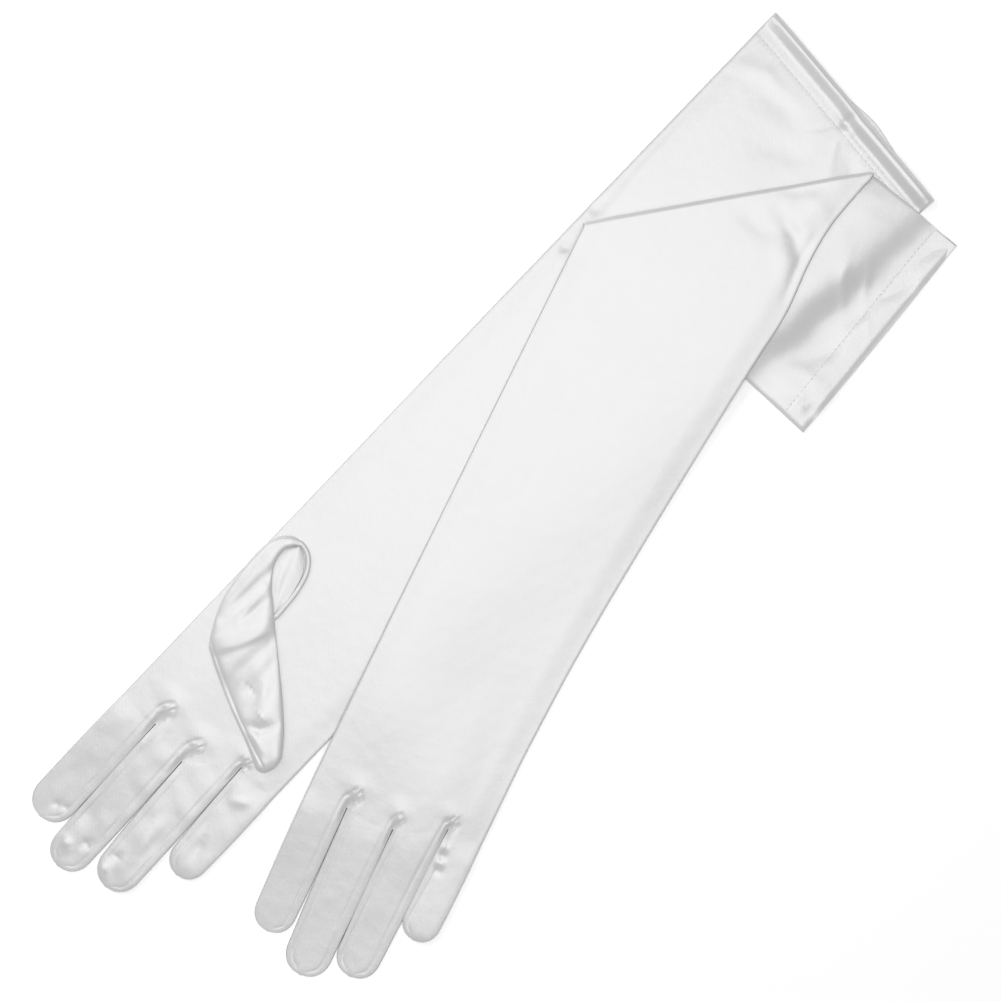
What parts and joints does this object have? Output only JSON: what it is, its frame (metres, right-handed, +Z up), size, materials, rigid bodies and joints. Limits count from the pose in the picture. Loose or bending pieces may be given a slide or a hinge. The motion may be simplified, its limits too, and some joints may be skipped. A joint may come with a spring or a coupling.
{
  "type": "pair of opera gloves",
  "caption": "Long white stretch satin evening gloves with seamed fingers and turned hems, laid flat, one across the other with its sleeve end folded under.",
  "frame": {"origin": "centre of the pair's outline, on the surface that it lies on", "axes": "+Z up from the surface; +Y the way that the cuffs point, +X towards the side where the left glove's cuff comes out"},
  "size_m": [0.4916, 0.511, 0.0083],
  "materials": {
    "glove_satin": "satin",
    "fourchette_satin": "satin",
    "hem_satin": "glossy satin, turned and stitched",
    "seam_satin": "satin, seamed",
    "thread": "polyester thread"
  },
  "bodies": {
    "right_glove": {"right_palm_panel": "glove_satin", "right_back_panel": "glove_satin", "right_folded_edge": "glove_satin", "right_side_seam": "seam_satin", "right_hem_palm": "hem_satin", "right_hem_back": "hem_satin", "right_hem_stitching": "thread", "right_thumb_seam": "seam_satin"},
    "right_index": {"right_index_front": "glove_satin", "right_index_back": "glove_satin", "right_index_fold_wall": "glove_satin", "right_index_outer_fourchette": "fourchette_satin"},
    "right_middle": {"right_middle_front": "glove_satin", "right_middle_back": "glove_satin", "right_middle_inner_fourchette": "fourchette_satin", "right_middle_outer_fourchette": "fourchette_satin"},
    "right_ring": {"right_ring_front": "glove_satin", "right_ring_back": "glove_satin", "right_ring_inner_fourchette": "fourchette_satin", "right_ring_outer_fourchette": "fourchette_satin"},
    "right_little": {"right_little_front": "glove_satin", "right_little_back": "glove_satin", "right_little_inner_fourchette": "fourchette_satin", "right_little_side_seam": "seam_satin"},
    "right_thumb": {"right_thumb_front": "glove_satin", "right_thumb_back": "glove_satin"},
    "left_cuff": {"left_cuff_palm_panel": "glove_satin", "left_cuff_back_panel": "glove_satin", "left_cuff_folded_edge": "glove_satin", "left_cuff_side_seam": "seam_satin", "left_hem_palm": "hem_satin", "left_hem_back": "hem_satin", "left_hem_stitching": "thread", "left_fold_crease": "glove_satin"},
    "left_glove": {"left_palm_panel": "glove_satin", "left_back_panel": "glove_satin", "left_folded_edge": "glove_satin", "left_side_seam": "seam_satin", "left_thumb_seam": "seam_satin"},
    "left_index": {"left_index_front": "glove_satin", "left_index_back": "glove_satin", "left_index_fold_wall": "glove_satin", "left_index_outer_fourchette": "fourchette_satin"},
    "left_middle": {"left_middle_front": "glove_satin", "left_middle_back": "glove_satin", "left_middle_inner_fourchette": "fourchette_satin", "left_middle_outer_fourchette": "fourchette_satin"},
    "left_ring": {"left_ring_front": "glove_satin", "left_ring_back": "glove_satin", "left_ring_inner_fourchette": "fourchette_satin", "left_ring_outer_fourchette": "fourchette_satin"},
    "left_little": {"left_little_front": "glove_satin", "left_little_back": "glove_satin", "left_little_inner_fourchette": "fourchette_satin", "left_little_side_seam": "seam_satin"},
    "left_thumb": {"left_thumb_front": "glove_satin", "left_thumb_back": "glove_satin"}
  },
  "joints": [
    {"name": "right_thumb_lift", "type": "hinge", "parent": "right_glove", "child": "right_thumb", "pos_m": [-0.11173, -0.03581, 0.0049], "axis": [-0.7242, 0.6896, 0], "range_deg": [0, 120]},
    {"name": "right_index_fold", "type": "hinge", "parent": "right_glove", "child": "right_index", "pos_m": [-0.18837, -0.10919, 0.0025], "axis": [-0.7242, 0.6896, 0], "range_deg": [0, 90]},
    {"name": "right_middle_fold", "type": "hinge", "parent": "right_glove", "child": "right_middle", "pos_m": [-0.1707, -0.12602, 0.0025], "axis": [-0.7242, 0.6896, 0], "range_deg": [0, 90]},
    {"name": "right_ring_fold", "type": "hinge", "parent": "right_glove", "child": "right_ring", "pos_m": [-0.14872, -0.14005, 0.0025], "axis": [-0.7242, 0.6896, 0], "range_deg": [0, 90]},
    {"name": "right_little_fold", "type": "hinge", "parent": "right_glove", "child": "right_little", "pos_m": [-0.1268, -0.15126, 0.0025], "axis": [-0.7242, 0.6896, 0], "range_deg": [0, 90]},
    {"name": "left_glove_lift", "type": "slide", "parent": "right_glove", "child": "left_cuff", "axis": [0, 0, 1], "range_m": [0, 0.15]},
    {"name": "left_sleeve_unfold", "type": "hinge", "parent": "left_cuff", "child": "left_glove", "pos_m": [0.04604, 0.14421, 0.0056], "axis": [-0.9846, -0.1746, 0], "range_deg": [0, 180], "deforming": ["left_fold_crease"]},
    {"name": "left_thumb_swing", "type": "hinge", "parent": "left_glove", "child": "left_thumb", "pos_m": [-0.03924, -0.06372, 0.0049], "axis": [0, 0, -1], "range_deg": [0, 15]},
    {"name": "left_index_fold", "type": "hinge", "parent": "left_glove", "child": "left_index", "pos_m": [-0.08987, -0.15698, 0.0083], "axis": [-0.8999, 0.436, 0], "range_deg": [0, 90]},
    {"name": "left_middle_fold", "type": "hinge", "parent": "left_glove", "child": "left_middle", "pos_m": [-0.06791, -0.16762, 0.0083], "axis": [-0.8999, 0.436, 0], "range_deg": [0, 90]},
    {"name": "left_ring_fold", "type": "hinge", "parent": "left_glove", "child": "left_ring", "pos_m": [-0.04269, -0.17428, 0.0083], "axis": [-0.8999, 0.436, 0], "range_deg": [0, 90]},
    {"name": "left_little_fold", "type": "hinge", "parent": "left_glove", "child": "left_little", "pos_m": [-0.0184, -0.17827, 0.0083], "axis": [-0.8999, 0.436, 0], "range_deg": [0, 90]}
  ]
}
